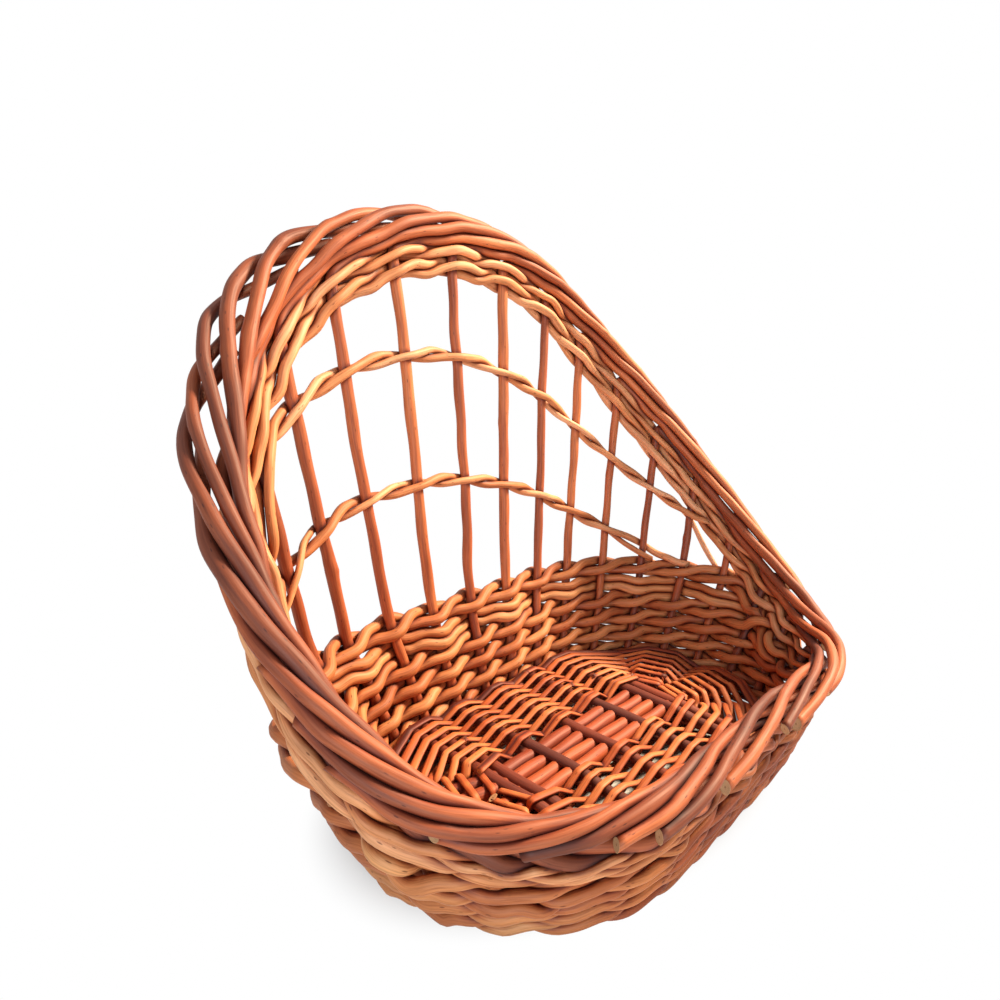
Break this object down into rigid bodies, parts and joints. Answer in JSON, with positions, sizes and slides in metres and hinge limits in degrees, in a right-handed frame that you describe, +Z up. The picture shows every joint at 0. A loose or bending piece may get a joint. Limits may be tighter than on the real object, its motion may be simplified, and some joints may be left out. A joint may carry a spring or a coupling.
{
  "type": "willow basket",
  "caption": "Oval willow basket with a low woven wall, a high openwork back, a base of split sticks and a rolled border, to stand on a table and hold small goods.",
  "frame": {"origin": "middle of the basket's box, on the table that it stands on", "axes": "+X to the right along the oval, +Y to the high back, -Y the low front, +Z up"},
  "size_m": [0.3312, 0.2048, 0.2602],
  "materials": {
    "bark_brown": "satin dry bark, reddish brown",
    "orange_tan": "satin peeled willow, orange tan",
    "cream_tan": "satin peeled willow, pale tan",
    "dark_brown": "dark dry bark",
    "red_brown": "satin split willow, red brown",
    "honey": "satin peeled willow, honey"
  },
  "bodies": {
    "root": {"base_cross_stick_1": "dark_brown", "base_cross_stick_2": "dark_brown", "base_cross_stick_3": "dark_brown", "base_cross_stick_4": "dark_brown", "base_cross_stick_5": "dark_brown", "base_cross_stick_6": "dark_brown", "base_cross_stick_7": "dark_brown", "base_long_stick_1": "red_brown", "base_long_stick_2": "red_brown", "base_long_stick_3": "red_brown", "base_long_stick_4": "red_brown", "base_weaver_a": "honey", "base_weaver_b": "honey", "stake_01": "bark_brown", "stake_02": "bark_brown", "stake_03": "bark_brown", "stake_04": "bark_brown", "stake_05": "bark_brown", "stake_06": "bark_brown", "stake_07": "bark_brown", "stake_08": "bark_brown", "stake_09": "bark_brown", "stake_10": "bark_brown", "stake_11": "bark_brown", "stake_12": "bark_brown", "stake_13": "bark_brown", "stake_14": "bark_brown", "stake_15": "bark_brown", "stake_16": "bark_brown", "stake_17": "bark_brown", "stake_18": "bark_brown", "stake_19": "bark_brown", "stake_20": "bark_brown", "stake_21": "bark_brown", "stake_22": "bark_brown", "stake_23": "bark_brown", "stake_24": "bark_brown", "stake_25": "bark_brown", "stake_26": "bark_brown", "stake_27": "bark_brown", "stake_28": "bark_brown", "stake_29": "bark_brown", "wall_row_01": "orange_tan", "wall_row_02": "orange_tan", "wall_row_03": "orange_tan", "wall_row_04": "orange_tan", "wall_row_05": "orange_tan", "wall_row_06": "orange_tan", "wall_row_07": "orange_tan", "wall_row_08": "orange_tan", "wall_row_09": "orange_tan", "wall_top_pair_a": "orange_tan", "wall_top_pair_b": "orange_tan", "openwork_lower_a": "cream_tan", "openwork_lower_b": "cream_tan", "openwork_upper_a": "cream_tan", "openwork_upper_b": "cream_tan", "rim_wale_1": "cream_tan", "rim_wale_2": "cream_tan", "rim_wale_3": "cream_tan"}
  },
  "joints": []
}
